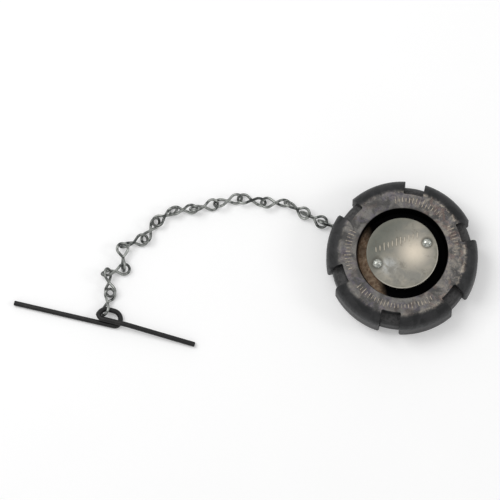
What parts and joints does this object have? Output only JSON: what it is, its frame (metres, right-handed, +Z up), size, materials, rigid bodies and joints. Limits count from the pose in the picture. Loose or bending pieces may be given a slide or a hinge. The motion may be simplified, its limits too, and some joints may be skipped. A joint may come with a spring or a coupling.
{
  "type": "fuel cap",
  "caption": "Screw-on fuel filler cap with lobed grip, vent valve and gasket, tied by a wire chain to a toggle bar that stays inside the filler neck.",
  "frame": {"origin": "centre of the cap's mouth on the rim plane", "axes": "+Z up through the cap's top along its screw axis, +X to the right and +Y away from the viewer in the picture; the chain leaves under the rim at 153 degrees from +X"},
  "size_m": [0.3501, 0.1221, 0.0472],
  "materials": {
    "black_casting": "worn satin black paint on a die casting",
    "gasket_rubber": "dull black moulded rubber",
    "worn_plate": "dull worn plate, dirty in the hollows",
    "screw_steel": "dull steel",
    "valve_brass": "turned brass",
    "spring_steel": "bright spring wire",
    "chain_steel": "zinc plated wire, dulled",
    "black_wire": "satin black"
  },
  "bodies": {
    "cap": {"cap_body": "black_casting", "cap_gasket": "gasket_rubber", "cover_disc": "worn_plate", "drive_screw_right": "screw_steel", "drive_screw_left": "screw_steel", "valve_body": "valve_brass", "valve_retainer": "valve_brass", "valve_spring": "spring_steel"},
    "poppet": {"valve_poppet": "valve_brass"},
    "ball": {"check_ball": "screw_steel"},
    "swivel": {"chain_swivel": "chain_steel"},
    "chain_link_01": {"link_01": "chain_steel"},
    "chain_link_02": {"link_02": "chain_steel"},
    "chain_link_03": {"link_03": "chain_steel"},
    "chain_link_04": {"link_04": "chain_steel"},
    "chain_link_05": {"link_05": "chain_steel"},
    "chain_link_06": {"link_06": "chain_steel"},
    "chain_link_07": {"link_07": "chain_steel"},
    "chain_link_08": {"link_08": "chain_steel"},
    "chain_link_09": {"link_09": "chain_steel"},
    "chain_link_10": {"link_10": "chain_steel"},
    "chain_link_11": {"link_11": "chain_steel"},
    "chain_link_12": {"link_12": "chain_steel"},
    "chain_link_13": {"link_13": "chain_steel"},
    "chain_link_14": {"link_14": "chain_steel"},
    "chain_link_15": {"link_15": "chain_steel"},
    "chain_link_16": {"link_16": "chain_steel"},
    "chain_link_17": {"link_17": "chain_steel"},
    "chain_link_18": {"link_18": "chain_steel"},
    "bar": {"toggle_bar": "black_wire"}
  },
  "joints": [
    {"name": "poppet_lift", "type": "slide", "parent": "cap", "child": "poppet", "axis": [0, 0, 1], "range_m": [0, 0.001], "stiffness_N_per_m": 400, "springref_m": -0.002, "deforming": ["valve_spring"]},
    {"name": "ball_lift", "type": "slide", "parent": "poppet", "child": "ball", "axis": [0, 0, 1], "range_m": [0, 0.001]},
    {"name": "swivel_spin", "type": "hinge", "parent": "cap", "child": "swivel", "pos_m": [0, 0, 0.0083], "axis": [0, 0, 1], "continuous": true},
    {"name": "hinge_01", "type": "hinge", "parent": "swivel", "child": "chain_link_01", "pos_m": [-0.0024, 0.0005, 0.0023], "axis": [-0.3746, -0.9272, 0], "range_deg": [0, 30]},
    {"name": "hinge_02", "type": "hinge", "parent": "chain_link_01", "child": "chain_link_02", "pos_m": [-0.0188, 0.0064, 0.0002], "axis": [0, 0, 1], "range_deg": [-25, 30]},
    {"name": "hinge_03", "type": "hinge", "parent": "chain_link_02", "child": "chain_link_03", "pos_m": [-0.0332, 0.016, -0.0001], "axis": [-0.5299, -0.848, 0], "range_deg": [0, 30]},
    {"name": "hinge_04", "type": "hinge", "parent": "chain_link_03", "child": "chain_link_04", "pos_m": [-0.0458, 0.0239, -0.0032], "axis": [0, 0, -1], "range_deg": [-25, 30]},
    {"name": "hinge_05", "type": "hinge", "parent": "chain_link_04", "child": "chain_link_05", "pos_m": [-0.0616, 0.0303, -0.0018], "axis": [0, 0, 1], "range_deg": [-25, 30]},
    {"name": "hinge_06", "type": "hinge", "parent": "chain_link_05", "child": "chain_link_06", "pos_m": [-0.0711, 0.0359, -0.0025], "axis": [0.4924, 0.8704, 0], "range_deg": [-30, 20]},
    {"name": "hinge_07", "type": "hinge", "parent": "chain_link_06", "child": "chain_link_07", "pos_m": [-0.0864, 0.0457, -0.0034], "axis": [0, 0, -1], "range_deg": [-25, 30]},
    {"name": "hinge_08", "type": "hinge", "parent": "chain_link_07", "child": "chain_link_08", "pos_m": [-0.1044, 0.0456, -0.0043], "axis": [-0.1219, -0.9925, 0], "range_deg": [-30, 30]},
    {"name": "hinge_09", "type": "hinge", "parent": "chain_link_08", "child": "chain_link_09", "pos_m": [-0.122, 0.0485, -0.006], "axis": [0, 0, 1], "range_deg": [-30, 30]},
    {"name": "hinge_10", "type": "hinge", "parent": "chain_link_09", "child": "chain_link_10", "pos_m": [-0.1398, 0.045, -0.007], "axis": [-0.225, 0.9744, 0], "range_deg": [-30, 30]},
    {"name": "hinge_11", "type": "hinge", "parent": "chain_link_10", "child": "chain_link_11", "pos_m": [-0.1567, 0.0417, -0.0062], "axis": [0, 0, -1], "range_deg": [-30, 30]},
    {"name": "hinge_12", "type": "hinge", "parent": "chain_link_11", "child": "chain_link_12", "pos_m": [-0.1737, 0.0394, -0.0065], "axis": [0.309, -0.9511, 0], "range_deg": [-30, 30]},
    {"name": "hinge_13", "type": "hinge", "parent": "chain_link_12", "child": "chain_link_13", "pos_m": [-0.1857, 0.0314, -0.0086], "axis": [0, 0, 1], "range_deg": [-30, 30]},
    {"name": "hinge_14", "type": "hinge", "parent": "chain_link_13", "child": "chain_link_14", "pos_m": [-0.1952, 0.017, -0.0092], "axis": [-0.6157, 0.788, 0], "range_deg": [-25, 30]},
    {"name": "hinge_15", "type": "hinge", "parent": "chain_link_14", "child": "chain_link_15", "pos_m": [-0.211, 0.0122, -0.0078], "axis": [0, 0, -1], "range_deg": [-25, 25]},
    {"name": "hinge_16", "type": "hinge", "parent": "chain_link_15", "child": "chain_link_16", "pos_m": [-0.2085, -0.0035, -0.0086], "axis": [0.7986, -0.6018, 0], "range_deg": [-30, 30]},
    {"name": "hinge_17", "type": "hinge", "parent": "chain_link_16", "child": "chain_link_17", "pos_m": [-0.2221, -0.0077, -0.0071], "axis": [0, 0, 1], "range_deg": [-30, 30]},
    {"name": "hinge_18", "type": "hinge", "parent": "chain_link_17", "child": "chain_link_18", "pos_m": [-0.2198, -0.0239, -0.0094], "axis": [-0.9969, 0.0785, 0], "range_deg": [-30, 20]},
    {"name": "bar_hinge", "type": "hinge", "parent": "chain_link_18", "child": "bar", "pos_m": [-0.2251, -0.0377, -0.0083], "axis": [0, 0, -1], "range_deg": [-5, 30]}
  ]
}
